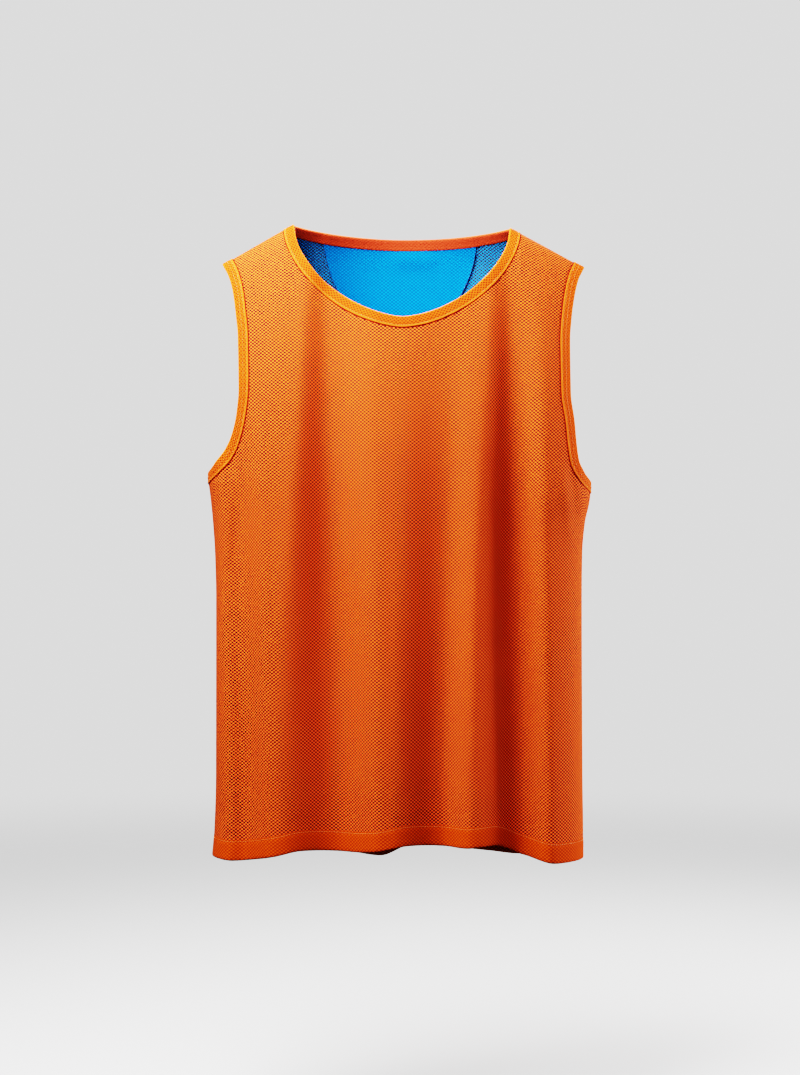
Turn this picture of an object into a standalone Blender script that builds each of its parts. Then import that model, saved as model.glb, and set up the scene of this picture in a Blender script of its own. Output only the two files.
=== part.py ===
"""Training bib: a reversible two-layer mesh vest, filled out as if worn.

Metres, +Z up, the front faces -Y.  The wearer's left is +X.  The origin lies between the two
shoulder seams at the height of the neck, where the wearer's shoulders carry the bib.
"""
import math
from collections import namedtuple

import bmesh
import bpy
import numpy as np
from mathutils import Vector

# ---- cloth layers, measured inwards from the outer face ------------------------------------
SHELL_THICK = 0.0012
LAYER_GAP = 0.0004
LINING_THICK = 0.0010
PATCH_GAP = 0.0005
PATCH_THICK = 0.0010
SEAM_GAP = 0.0003
BAND_PROUD = 0.0003          # bindings and hems stand this far outside the shell
BAND_THICK = 0.0032
BAND_ROUND = 0.0010          # rounding of a binding's free edge

# ---- cut of the garment ---------------------------------------------------------------------
BINDING_WIDTH = 0.0117
HEM_WIDTH = 0.0230
FRONT_NECK_DROP = 0.113      # seam of the binding, below the neck points
BACK_NECK_DROP = 0.0155
NECK_CURVE = 1.7             # exponent of the neckline's superellipse
PATCH_HALF_WIDTH = 0.088
PATCH_DEPTH = 0.112

# ---- filled-out form ------------------------------------------------------------------------
FRONT_DEPTH = 0.076
BACK_DEPTH = 0.068
NAPE_SETBACK = 0.045         # how far the back neckline lies behind the shoulder seams
FILL_DROP = 0.30             # drop below the shoulders at which the full depth is reached
FILL_POWER = 2.2
FILL_ROUND = 0.55
SECTION_POWER = 3.6          # squareness of the level sections
SIDE_CROWDING = 0.45         # how much the columns crowd towards the side seams
FOLD_SIDE_FADE = 8           # folds die out towards the side seams with this power

# ---- grid -----------------------------------------------------------------------------------
NECK_COLUMNS = 22
SHOULDER_COLUMNS = 7
ARMHOLE_ROWS = 13
BODY_ROWS = 7
HEM_ROWS = 2
PATCH_ROWS = 5
ROW_CROWDING = 0.80          # rows crowd towards the underarm and the shoulder
NECK_CROWDING = 0.50         # columns crowd towards the neck points
NECK_FLARE = 0.015           # columns swing outwards just below the neck points
COLUMNS = NECK_COLUMNS + 2 * SHOULDER_COLUMNS
NECK_U = NECK_COLUMNS / COLUMNS

Shoulder = namedtuple("Shoulder", "neck_x neck_z tip_x slope underarm_z")
RIGHT = Shoulder(neck_x=-0.1300, neck_z=-0.0039, tip_x=-0.1900, slope=0.566, underarm_z=-0.2905)
LEFT = Shoulder(neck_x=0.1345, neck_z=-0.0076, tip_x=0.1975, slope=0.537, underarm_z=-0.3010)

# Seam of the armhole bindings, from the underarm (up = 0) to the shoulder (up = 1).
ArmholeRow = namedtuple("ArmholeRow", "up right_x left_x")
ARMHOLE = (
    ArmholeRow(0.00, -0.2158, 0.2148),
    ArmholeRow(0.05, -0.2010, 0.2008),
    ArmholeRow(0.12, -0.1858, 0.1902),
    ArmholeRow(0.20, -0.1772, 0.1868),
    ArmholeRow(0.30, -0.1714, 0.1841),
    ArmholeRow(0.42, -0.1683, 0.1796),
    ArmholeRow(0.65, -0.1695, 0.1789),
    ArmholeRow(0.75, -0.1722, 0.1808),
    ArmholeRow(0.86, -0.1763, 0.1850),
    ArmholeRow(0.94, -0.1822, 0.1902),
    ArmholeRow(1.00, -0.1900, 0.1975),
)

# Side seams below the underarms.
SideRow = namedtuple("SideRow", "z right_x left_x")
SIDES = (
    SideRow(-0.720, -0.2125, 0.2065),
    SideRow(-0.685, -0.2095, 0.2065),
    SideRow(-0.620, -0.2075, 0.2058),
    SideRow(-0.420, -0.2073, 0.2050),
    SideRow(-0.370, -0.2085, 0.2055),
    SideRow(-0.335, -0.2108, 0.2085),
    SideRow(-0.312, -0.2130, 0.2135),
    SideRow(-0.301, -0.2143, 0.2148),
    SideRow(-0.290, -0.2158, 0.2148),
)

# Lower edge of the hem along the width.
HemRow = namedtuple("HemRow", "x front_z back_z")
HEM = (
    HemRow(-0.212, -0.7095, -0.7095),
    HemRow(-0.181, -0.7107, -0.7140),
    HemRow(-0.142, -0.7035, -0.7130),
    HemRow(-0.109, -0.6976, -0.7120),
    HemRow(-0.056, -0.7000, -0.7140),
    HemRow(-0.022, -0.6960, -0.7170),
    HemRow(0.009, -0.6908, -0.7070),
    HemRow(0.063, -0.6935, -0.7090),
    HemRow(0.102, -0.6911, -0.7110),
    HemRow(0.138, -0.7050, -0.7155),
    HemRow(0.176, -0.7127, -0.7160),
    HemRow(0.206, -0.7120, -0.7120),
)

# Valleys between the round lobes of hanging cloth.  A valley grows from start_z to full_z, where
# it is depth deep; its sides reach out to the wearer's right and left, at its top and low down.
Fold = namedtuple("Fold", "top_x low_x start_z full_z top_right low_right top_left low_left depth")
FRONT_FOLDS = (
    Fold(-0.188, -0.173, start_z=-0.18, full_z=-0.37, top_right=0.025, low_right=0.024,
         top_left=0.035, low_left=0.032, depth=0.0180),
    Fold(-0.080, -0.068, start_z=0.05, full_z=-0.65, top_right=0.024, low_right=0.071,
         top_left=0.059, low_left=0.050, depth=0.0340),
    Fold(0.052, 0.047, start_z=-0.09, full_z=-0.72, top_right=0.055, low_right=0.057,
         top_left=0.040, low_left=0.032, depth=0.0267),
    Fold(0.122, 0.135, start_z=-0.01, full_z=-0.49, top_right=0.024, low_right=0.052,
         top_left=0.042, low_left=0.036, depth=0.0345),
)
BACK_FOLDS = (
    Fold(-0.118, -0.130, start_z=-0.05, full_z=-0.45, top_right=0.030, low_right=0.052,
         top_left=0.030, low_left=0.052, depth=0.0160),
    Fold(-0.010, -0.022, start_z=-0.12, full_z=-0.68, top_right=0.044, low_right=0.056,
         top_left=0.044, low_left=0.056, depth=0.0170),
    Fold(0.094, 0.104, start_z=-0.04, full_z=-0.42, top_right=0.030, low_right=0.054,
         top_left=0.030, low_left=0.054, depth=0.0160),
)

# A side of the body: sign of its Y, full depth, setback and drop of its neckline, and its folds.
Face = namedtuple("Face", "sign depth setback neck_drop hem_column folds")
FRONT = Face(-1, FRONT_DEPTH, 0.0, FRONT_NECK_DROP, "front_z", FRONT_FOLDS)
BACK = Face(1, BACK_DEPTH, NAPE_SETBACK, BACK_NECK_DROP, "back_z", BACK_FOLDS)

# Colour and roughness of each material.
ORANGE_KNIT = ("orange_knit", (0.82, 0.16, 0.03, 1.0), 0.75)
BLUE_KNIT = ("blue_knit", (0.01, 0.17, 0.46, 1.0), 0.75)
ORANGE_BINDING = ("orange_binding", (0.90, 0.25, 0.04, 1.0), 0.70)


# ---- curves through the tables ----------------------------------------------------------------
def through(rows, key, column, at):
    """Value of a table's column at a key, on a smooth curve that keeps between its rows."""
    keys = np.array([getattr(row, key) for row in rows])
    values = np.array([getattr(row, column) for row in rows])
    spans = np.diff(keys)
    slopes = np.diff(values) / spans
    tangents = np.zeros(len(rows))
    tangents[0], tangents[-1] = slopes[0], slopes[-1]
    for i in range(1, len(rows) - 1):
        if slopes[i - 1] * slopes[i] > 0.0:
            tangents[i] = 2.0 * slopes[i - 1] * slopes[i] / (slopes[i - 1] + slopes[i])
    at = min(max(at, keys[0]), keys[-1])
    i = min(int(np.searchsorted(keys, at, side="right")) - 1, len(spans) - 1)
    t = (at - keys[i]) / spans[i]
    rise = (1 + 2 * t) * (1 - t) ** 2 * values[i] + t * t * (3 - 2 * t) * values[i + 1]
    return rise + spans[i] * (t * (1 - t) ** 2 * tangents[i] - t * t * (1 - t) * tangents[i + 1])


def crowded(t, amount):
    """Runs from 0 to 1 as t does, in smaller steps near both ends."""
    return t - amount * math.sin(2 * math.pi * t) / (2 * math.pi)


def smoothstep(t):
    t = min(max(t, 0.0), 1.0)
    return t * t * (3.0 - 2.0 * t)


def mix(a, b, t):
    return a + (b - a) * t


# ---- the filled-out form ----------------------------------------------------------------------
def ridge_z(x):
    """Height of the shoulder line over x; level between the two neck points."""
    if x < RIGHT.neck_x:
        return RIGHT.neck_z - RIGHT.slope * (RIGHT.neck_x - x)
    if x > LEFT.neck_x:
        return LEFT.neck_z - LEFT.slope * (x - LEFT.neck_x)
    return mix(RIGHT.neck_z, LEFT.neck_z, (x - RIGHT.neck_x) / (LEFT.neck_x - RIGHT.neck_x))


def side_x(z, wearer_side):
    return through(SIDES, "z", "right_x" if wearer_side is RIGHT else "left_x", z)


def fold_dip(x, z, folds):
    """How far the folds draw the cloth in at a place."""
    total = 0.0
    for fold in folds:
        grown = smoothstep((fold.start_z - z) / (fold.start_z - fold.full_z))
        away = x - mix(fold.top_x, fold.low_x, smoothstep(z / HEM[0].front_z))
        if away < 0.0:
            half = mix(fold.top_right, fold.low_right, grown)
        else:
            half = mix(fold.top_left, fold.low_left, grown)
        share = min(abs(away) / half, 1.0)
        total += fold.depth * math.sqrt(grown) * (1.0 + math.cos(math.pi * share)) / 2
    return total


def surface_y(x, z, face):
    """Outer face of the shell at a place seen from the front."""
    wearer_side = RIGHT if x < 0.0 else LEFT
    reach = min(abs(x / side_x(z, wearer_side)), 1.0)
    section = math.sqrt(1.0 - reach ** SECTION_POWER)
    drop = min(max((ridge_z(x) - z) / FILL_DROP, 0.0), 1.0)
    fill = (1.0 - (1.0 - drop) ** FILL_POWER) ** FILL_ROUND
    nape = face.setback * max(1.0 - (x / wearer_side.neck_x) ** 2, 0.0)
    bulge = nape * (1.0 - fill) + face.depth * section * fill
    folds = fold_dip(x, z, face.folds) * (1.0 - reach ** FOLD_SIDE_FADE)
    return face.sign * (bulge - folds + SEAM_GAP / 2)


def place(x, z, face):
    return np.array((x, surface_y(x, z, face), z))


# ---- the grid of one face -----------------------------------------------------------------------
def column_x(u, z):
    """X of a column at a level of the body; u runs from -1 to 1."""
    spread = mix(u, math.sin(u * math.pi / 2), SIDE_CROWDING)
    return abs(side_x(z, RIGHT if u < 0 else LEFT)) * spread


def underarm_z(u):
    return mix(RIGHT.underarm_z, LEFT.underarm_z, (u + 1) / 2)


def hem_z(u, face):
    return through(HEM, "x", face.hem_column, column_x(u, HEM[0].front_z))


def top_edge(u, face):
    """The shoulder seams and the neck seam, as one edge in (x, z)."""
    if abs(u) >= NECK_U:
        side = RIGHT if u < 0 else LEFT
        x = mix(side.neck_x, side.tip_x, (abs(u) - NECK_U) / (1 - NECK_U))
        return np.array((x, ridge_z(x)))
    turn = math.pi * crowded((u / NECK_U + 1) / 2, NECK_CROWDING)
    across = math.copysign(abs(math.cos(turn)) ** (2 / NECK_CURVE), -math.cos(turn))
    x = mix(RIGHT.neck_x, LEFT.neck_x, (across + 1) / 2)
    return np.array((x, ridge_z(x) - face.neck_drop * math.sin(turn) ** (2 / NECK_CURVE)))


def armhole_edge(up, wearer_side):
    x = through(ARMHOLE, "up", "right_x" if wearer_side is RIGHT else "left_x", up)
    tip_z = ridge_z(wearer_side.tip_x)
    return np.array((x, mix(wearer_side.underarm_z, tip_z, up)))


def yoke_xz(u, up, face):
    """Blend of the four edges between the underarms and the shoulders."""
    t = (u + 1) / 2
    low = np.array((column_x(u, underarm_z(u)), underarm_z(u)))
    sides = mix(armhole_edge(up, RIGHT), armhole_edge(up, LEFT), t)
    corners_low = mix(armhole_edge(0.0, RIGHT), armhole_edge(0.0, LEFT), t)
    corners_top = mix(armhole_edge(1.0, RIGHT), armhole_edge(1.0, LEFT), t)
    blend = mix(low, top_edge(u, face), up) + sides - mix(corners_low, corners_top, up)
    inner = abs(u) < NECK_U
    share = (abs(u) / NECK_U) ** 3 if inner else (1 - abs(u)) / (1 - NECK_U)
    blend[0] += math.copysign(NECK_FLARE * share * math.sin(math.pi * math.sqrt(1 - up)), u)
    return blend


def body_rows(face, low_z, high_z, rows):
    """Level rows of points between two edges of the body, each a function of u."""
    grid = []
    for i in range(rows + 1):
        row = []
        for j in range(COLUMNS + 1):
            u = 2 * j / COLUMNS - 1
            z = mix(low_z(u), high_z(u), i / rows)
            row.append(place(column_x(u, z), z, face))
        grid.append(row)
    return grid


def face_grid(face):
    """Points of the outer face, from the hem's edge up to the neck and shoulder seams."""
    hem_seam = lambda u: hem_z(u, face) + HEM_WIDTH
    grid = body_rows(face, lambda u: hem_z(u, face), hem_seam, HEM_ROWS)
    grid += body_rows(face, hem_seam, underarm_z, BODY_ROWS)[1:]
    for i in range(1, ARMHOLE_ROWS + 1):
        up = crowded(i / ARMHOLE_ROWS, ROW_CROWDING)
        row = []
        for j in range(COLUMNS + 1):
            x, z = yoke_xz(2 * j / COLUMNS - 1, up, face)
            row.append(place(x, z, face))
        grid.append(row)
    return np.array(grid)


def unit(vectors):
    return vectors / np.linalg.norm(vectors, axis=-1, keepdims=True)


def outward(grid, face):
    """Outward normals of a grid, square to its edges and level along the seams."""
    across = np.gradient(grid, axis=1)
    upward = np.gradient(grid, axis=0)
    normals = unit(np.cross(across, upward) * -face.sign)
    for edge in ((-1, slice(None)), (slice(None), 0), (slice(None), -1)):
        run = unit(np.gradient(grid[edge], axis=0))
        normals[edge] -= run * np.sum(normals[edge] * run, axis=1, keepdims=True)
    seam = np.abs(grid[..., 1]) < SEAM_GAP
    normals[seam, 1] = 0.0
    return unit(normals)


# ---- solids -------------------------------------------------------------------------------------
def material(spec):
    name, colour, roughness = spec
    made = bpy.data.materials.new(name)
    made.use_nodes = True
    shader = made.node_tree.nodes["Principled BSDF"]
    shader.inputs["Base Color"].default_value = colour
    shader.inputs["Roughness"].default_value = roughness
    shader.inputs["Metallic"].default_value = 0.0
    return made


def add_solid(name, bm, spec, collection):
    bmesh.ops.recalc_face_normals(bm, faces=bm.faces)
    mesh = bpy.data.meshes.new(name)
    bm.to_mesh(mesh)
    bm.free()
    mesh.materials.append(material(spec))
    mesh.shade_smooth()
    mesh.set_sharp_from_angle(angle=math.radians(50))
    collection.objects.link(bpy.data.objects.new(name, mesh))


def add_strip_face(bm, corners, clear_of):
    """Two triangles on a twisted strip, split so that it bends towards one direction."""
    a, b, c, d = corners
    if (a.co + c.co - b.co - d.co).dot(clear_of) > 0:
        bm.faces.new((a, b, c))
        bm.faces.new((a, c, d))
    else:
        bm.faces.new((a, b, d))
        bm.faces.new((b, c, d))


def wall(name, grid, normals, near, far, spec, collection):
    """A cloth wall between two offsets of a grid along its own normals.

    Walls that lie on each other share points, normals and diagonals, so the gap stays even.
    """
    rows, columns = grid.shape[:2]
    bm = bmesh.new()
    skins = []
    for offset in (near, far):
        points = grid + normals * offset
        skins.append([[bm.verts.new(p) for p in row] for row in points])
    for skin in skins:
        for i in range(rows - 1):
            for j in range(columns - 1):
                a, b = skin[i][j], skin[i][j + 1]
                c, d = skin[i + 1][j + 1], skin[i + 1][j]
                bm.faces.new((a, b, c))
                bm.faces.new((a, c, d))
    rim = [(0, j) for j in range(columns)]
    rim += [(i, columns - 1) for i in range(1, rows)]
    rim += [(rows - 1, j) for j in range(columns - 2, -1, -1)]
    rim += [(i, 0) for i in range(rows - 2, 0, -1)]
    middle = Vector(grid.mean(axis=(0, 1)))
    for (i, j), (k, m) in zip(rim, rim[1:] + rim[:1]):
        corners = (skins[0][i][j], skins[0][k][m], skins[1][k][m], skins[1][i][j])
        add_strip_face(bm, corners, middle - corners[0].co)
    add_solid(name, bm, spec, collection)


def binding_section():
    """Section of a binding: (distance out from the seam, height along the normal)."""
    low = BAND_PROUD - BAND_THICK
    out = SEAM_GAP + BINDING_WIDTH
    return (
        (SEAM_GAP, BAND_PROUD), (out - BAND_ROUND, BAND_PROUD), (out, BAND_PROUD - BAND_ROUND),
        (out, low + BAND_ROUND), (out - BAND_ROUND, low), (SEAM_GAP, low),
    )


def binding(name, seam, normals, middle, spec, collection):
    """A binding sewn round a closed seam; its free edge lies on the middle's side."""
    tangents = unit(np.roll(seam, -1, axis=0) - np.roll(seam, 1, axis=0))
    normals = unit(normals - tangents * np.sum(normals * tangents, axis=1, keepdims=True))
    outs = np.cross(tangents, normals)
    if np.sum(outs * (middle - seam)) < 0:
        outs = -outs
    bm = bmesh.new()
    rings = []
    for point, out, normal in zip(seam, outs, normals):
        rings.append([bm.verts.new(point + out * a + normal * b) for a, b in binding_section()])
    for ring, after, out in zip(rings, rings[1:] + rings[:1], outs):
        for k in range(len(ring)):
            m = (k + 1) % len(ring)
            add_strip_face(bm, (ring[k], ring[m], after[m], after[k]), Vector(out))
    add_solid(name, bm, spec, collection)


def joined_edge(front_part, back_part):
    """One closed run of the front's edge and the back's, met half way at both seams."""
    first = (front_part[0] + back_part[0]) / 2
    last = (front_part[-1] + back_part[-1]) / 2
    return np.concatenate(([first], front_part[1:-1], [last], back_part[-2:0:-1]))


def patch_grid(grid, normals):
    """The half moon below the back neck, on the panel's own columns down to a rounded edge."""
    neck = range(SHOULDER_COLUMNS, COLUMNS - SHOULDER_COLUMNS + 1)
    columns = [j for j in neck if abs(grid[-1, j, 0]) < PATCH_HALF_WIDTH]
    points, out = [], []
    for i in range(PATCH_ROWS + 1):
        row, row_out = [], []
        for j in columns:
            across = grid[-1, j, 0] / PATCH_HALF_WIDTH
            depth = PATCH_DEPTH * (1 - abs(across) ** NECK_CURVE) ** (1 / NECK_CURVE)
            z = grid[-1, j, 2] - depth * (1 - i / PATCH_ROWS)
            row.append([np.interp(z, grid[:, j, 2], grid[:, j, k]) for k in range(3)])
            row_out.append([np.interp(z, grid[:, j, 2], normals[:, j, k]) for k in range(3)])
        points.append(row)
        out.append(row_out)
    return np.array(points), np.array(out)


def build():
    for old in list(bpy.data.objects):
        bpy.data.objects.remove(old, do_unlink=True)
    bib = bpy.data.collections.new("training_bib")
    bpy.context.scene.collection.children.link(bib)

    shell_in = -SHELL_THICK
    lining_out = shell_in - LAYER_GAP
    lining_in = lining_out - LINING_THICK
    patch_out = lining_in - PATCH_GAP
    band_in = BAND_PROUD - BAND_THICK
    grids, normals = {}, {}
    for title, face in (("front", FRONT), ("back", BACK)):
        whole = face_grid(face)
        whole_out = outward(whole, face)
        grid, out = whole[HEM_ROWS:].copy(), whole_out[HEM_ROWS:]
        grids[title], normals[title] = grid, out
        wall(title + "_panel", grid, out, 0.0, shell_in, ORANGE_KNIT, bib)
        wall(title + "_lining", grid, out, lining_out, lining_in, BLUE_KNIT, bib)
        hem, hem_out = whole[:HEM_ROWS + 1], whole_out[:HEM_ROWS + 1]
        hem[-1, :, 2] -= SEAM_GAP
        wall(title + "_hem", hem, hem_out, BAND_PROUD, band_in, ORANGE_BINDING, bib)

    points, out = patch_grid(grids["back"], normals["back"])
    wall("back_neck_patch", points, out, patch_out, patch_out - PATCH_THICK, BLUE_KNIT, bib)

    neck = slice(SHOULDER_COLUMNS, COLUMNS - SHOULDER_COLUMNS + 1)
    seam = joined_edge(grids["front"][-1, neck], grids["back"][-1, neck])
    out = joined_edge(normals["front"][-1, neck], normals["back"][-1, neck])
    binding("neck_binding", seam, unit(out), seam.mean(axis=0), ORANGE_BINDING, bib)
    for title, column in (("right", 0), ("left", COLUMNS)):
        seam = joined_edge(grids["front"][BODY_ROWS:, column], grids["back"][BODY_ROWS:, column])
        out = joined_edge(normals["front"][BODY_ROWS:, column], normals["back"][BODY_ROWS:, column])
        binding("armhole_binding_" + title, seam, unit(out), seam.mean(axis=0), ORANGE_BINDING, bib)


build()
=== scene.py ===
"""Looks of the training bib: mesh knit, bindings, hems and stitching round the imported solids.

Metres, +Z up, the front faces -Y and the wearer's left is +X.  The sizes and curves are those of
the part's source, repeated here on a finer grid with the small creases and the sewing.
"""

import math
from collections import namedtuple

import bpy
import numpy as np
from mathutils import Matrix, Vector


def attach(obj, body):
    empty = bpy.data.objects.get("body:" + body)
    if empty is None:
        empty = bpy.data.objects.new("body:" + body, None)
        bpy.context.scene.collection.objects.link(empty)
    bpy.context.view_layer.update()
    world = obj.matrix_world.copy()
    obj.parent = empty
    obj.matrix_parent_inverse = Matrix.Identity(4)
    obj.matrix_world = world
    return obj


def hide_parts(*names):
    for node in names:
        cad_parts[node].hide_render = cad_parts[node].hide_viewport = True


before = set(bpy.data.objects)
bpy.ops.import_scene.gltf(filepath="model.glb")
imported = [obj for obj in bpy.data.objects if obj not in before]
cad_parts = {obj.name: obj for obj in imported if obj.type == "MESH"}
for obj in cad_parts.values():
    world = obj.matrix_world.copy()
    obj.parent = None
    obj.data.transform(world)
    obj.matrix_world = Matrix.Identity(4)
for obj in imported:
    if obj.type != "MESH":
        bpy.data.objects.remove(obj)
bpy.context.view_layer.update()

# ---- sizes of the source ------------------------------------------------------------------------
SHELL_THICK = 0.0012
LAYER_GAP = 0.0004
LINING_THICK = 0.0010
PATCH_GAP = 0.0005
PATCH_THICK = 0.0010
SEAM_GAP = 0.0003
HEM_WIDTH = 0.0230
FRONT_NECK_DROP = 0.113
BACK_NECK_DROP = 0.0155
NECK_CURVE = 1.7
PATCH_HALF_WIDTH = 0.088
PATCH_DEPTH = 0.112
FRONT_DEPTH = 0.076
BACK_DEPTH = 0.068
NAPE_SETBACK = 0.045
FILL_DROP = 0.30
FILL_POWER = 2.2
FILL_ROUND = 0.55
SECTION_POWER = 3.60
SIDE_CROWDING = 0.45
FOLD_SIDE_FADE = 8
NECK_FLARE = 0.015
NECK_U = 22 / 36             # share of the columns that end at the neck seam

# ---- fine grid ----------------------------------------------------------------------------------
NECK_COLUMNS = 100
SHOULDER_COLUMNS = 45
SHOULDER_POWER = 2.0         # columns crowd towards the side seams
NECK_CROWDING = 0.50
ARMHOLE_ROWS = 88
ROW_CROWDING = 0.95
BODY_ROWS = 80
HEM_STEPS = (0.0, 0.00015, 0.0005, 0.0010, 0.0017, 0.0045, 0.009, 0.013, 0.017, 0.0192, 0.0202,
             0.0210, 0.0218, 0.0226, 0.0230)
HEM_ROWS = len(HEM_STEPS) - 1
HEM_STITCH_ROW = HEM_STEPS.index(0.0210)
ARC_STEPS = 40
KNIT_LEVEL = -0.45           # level from which the knit's rows are counted

Shoulder = namedtuple("Shoulder", "neck_x neck_z tip_x slope underarm_z")
RIGHT = Shoulder(neck_x=-0.1300, neck_z=-0.0039, tip_x=-0.1900, slope=0.566, underarm_z=-0.2905)
LEFT = Shoulder(neck_x=0.1345, neck_z=-0.0076, tip_x=0.1975, slope=0.537, underarm_z=-0.3010)

# Seam of the armhole bindings: up, x on the wearer's right, x on the left.
ARMHOLE = (
    (0.00, -0.2158, 0.2148), (0.05, -0.2010, 0.2008), (0.12, -0.1858, 0.1902),
    (0.20, -0.1772, 0.1868), (0.30, -0.1714, 0.1841), (0.42, -0.1683, 0.1796),
    (0.65, -0.1695, 0.1789), (0.75, -0.1722, 0.1808), (0.86, -0.1763, 0.1850),
    (0.94, -0.1822, 0.1902), (1.00, -0.1900, 0.1975),
)
# Side seams: z, x on the wearer's right, x on the left.
SIDES = (
    (-0.720, -0.2125, 0.2065), (-0.685, -0.2095, 0.2065), (-0.620, -0.2075, 0.2058),
    (-0.420, -0.2073, 0.2050), (-0.370, -0.2085, 0.2055), (-0.335, -0.2108, 0.2085),
    (-0.312, -0.2130, 0.2135), (-0.301, -0.2143, 0.2148), (-0.290, -0.2158, 0.2148),
)
# Lower edge of the hem: x, z at the front, z at the back.
HEM = (
    (-0.212, -0.7095, -0.7095), (-0.181, -0.7107, -0.7140), (-0.142, -0.7035, -0.7130),
    (-0.109, -0.6976, -0.7120), (-0.056, -0.7000, -0.7140), (-0.022, -0.6960, -0.7170),
    (0.009, -0.6908, -0.7070), (0.063, -0.6935, -0.7090), (0.102, -0.6911, -0.7110),
    (0.138, -0.7050, -0.7155), (0.176, -0.7127, -0.7160), (0.206, -0.7120, -0.7120),
)
HEM_TOP_Z = HEM[0][1]

Fold = namedtuple("Fold", "top_x low_x start_z full_z top_right low_right top_left low_left depth")
FRONT_FOLDS = (
    Fold(-0.188, -0.173, start_z=-0.18, full_z=-0.37, top_right=0.025, low_right=0.024,
         top_left=0.035, low_left=0.032, depth=0.0180),
    Fold(-0.080, -0.068, start_z=0.05, full_z=-0.65, top_right=0.024, low_right=0.071,
         top_left=0.059, low_left=0.050, depth=0.0340),
    Fold(0.052, 0.047, start_z=-0.09, full_z=-0.72, top_right=0.055, low_right=0.057,
         top_left=0.040, low_left=0.032, depth=0.0267),
    Fold(0.122, 0.135, start_z=-0.01, full_z=-0.49, top_right=0.024, low_right=0.052,
         top_left=0.042, low_left=0.036, depth=0.0345),
)
BACK_FOLDS = (
    Fold(-0.118, -0.130, start_z=-0.05, full_z=-0.45, top_right=0.030, low_right=0.052,
         top_left=0.030, low_left=0.052, depth=0.0160),
    Fold(-0.010, -0.022, start_z=-0.12, full_z=-0.68, top_right=0.044, low_right=0.056,
         top_left=0.044, low_left=0.056, depth=0.0170),
    Fold(0.094, 0.104, start_z=-0.04, full_z=-0.42, top_right=0.030, low_right=0.054,
         top_left=0.030, low_left=0.054, depth=0.0160),
)

# Small creases that only the looks have: a line in x and z, its half width and its rise.
Crease = namedtuple("Crease", "x0 z0 x1 z1 width rise")
CREASE_FADE = 0.35           # share of a crease's length over which it grows and fades
FRONT_CREASES = (
    Crease(-0.184, -0.262, -0.196, -0.400, 0.0065, 0.0022),
    Crease(-0.196, -0.370, -0.204, -0.520, 0.0055, 0.0014),
    Crease(-0.121, -0.012, -0.119, -0.048, 0.0040, -0.0012),
    Crease(0.186, -0.255, 0.201, -0.350, 0.0050, -0.0022),
    Crease(0.178, -0.262, 0.192, -0.372, 0.0060, 0.0020),
)
BACK_CREASES = (
    Crease(-0.178, -0.250, -0.196, -0.370, 0.0070, 0.0020),
    Crease(0.182, -0.255, 0.197, -0.360, 0.0065, 0.0020),
    Crease(-0.020, -0.030, 0.050, -0.034, 0.0100, -0.0012),
)

Face = namedtuple("Face", "sign depth setback neck_drop hem_column folds creases")
FRONT = Face(-1, FRONT_DEPTH, 0.0, FRONT_NECK_DROP, 1, FRONT_FOLDS, FRONT_CREASES)
BACK = Face(1, BACK_DEPTH, NAPE_SETBACK, BACK_NECK_DROP, 2, BACK_FOLDS, BACK_CREASES)


# ---- curves of the source -----------------------------------------------------------------------
def through(rows, column, at):
    """Values of a table's column, on a smooth curve that keeps between its rows."""
    keys = np.array([row[0] for row in rows])
    values = np.array([row[column] for row in rows])
    spans = np.diff(keys)
    slopes = np.diff(values) / spans
    tangents = np.zeros(len(rows))
    tangents[0], tangents[-1] = slopes[0], slopes[-1]
    for i in range(1, len(rows) - 1):
        if slopes[i - 1] * slopes[i] > 0.0:
            tangents[i] = 2.0 * slopes[i - 1] * slopes[i] / (slopes[i - 1] + slopes[i])
    at = np.clip(at, keys[0], keys[-1])
    i = np.minimum(np.searchsorted(keys, at, side="right") - 1, len(spans) - 1)
    t = (at - keys[i]) / spans[i]
    rise = (1 + 2 * t) * (1 - t) ** 2 * values[i] + t * t * (3 - 2 * t) * values[i + 1]
    return rise + spans[i] * (t * (1 - t) ** 2 * tangents[i] - t * t * (1 - t) * tangents[i + 1])


def crowded(t, amount):
    """Steps from 0 to 1 that lie closer together at both ends."""
    return t - amount * np.sin(2 * math.pi * t) / (2 * math.pi)


def smoothstep(t):
    t = np.clip(t, 0.0, 1.0)
    return t * t * (3.0 - 2.0 * t)


def mix(a, b, t):
    return a + (b - a) * t


def ridge_z(x):
    """Height of the shoulder line over x; level between the two neck points."""
    between = mix(RIGHT.neck_z, LEFT.neck_z, (x - RIGHT.neck_x) / (LEFT.neck_x - RIGHT.neck_x))
    right = RIGHT.neck_z - RIGHT.slope * (RIGHT.neck_x - x)
    left = LEFT.neck_z - LEFT.slope * (x - LEFT.neck_x)
    return np.where(x < RIGHT.neck_x, right, np.where(x > LEFT.neck_x, left, between))


def half_width(x, z):
    """Distance of the side seam on the side of x, at a level."""
    return np.abs(np.where(x < 0.0, through(SIDES, 1, z), through(SIDES, 2, z)))


def fold_dip(x, z, folds):
    """How far the folds draw the cloth in."""
    total = np.zeros(np.broadcast(x, z).shape)
    for fold in folds:
        grown = smoothstep((fold.start_z - z) / (fold.start_z - fold.full_z))
        away = x - mix(fold.top_x, fold.low_x, smoothstep(z / HEM_TOP_Z))
        half = np.where(away < 0.0, mix(fold.top_right, fold.low_right, grown),
                        mix(fold.top_left, fold.low_left, grown))
        share = np.minimum(np.abs(away) / half, 1.0)
        total = total + fold.depth * np.sqrt(grown) * (1.0 + np.cos(math.pi * share)) / 2
    return total


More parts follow.
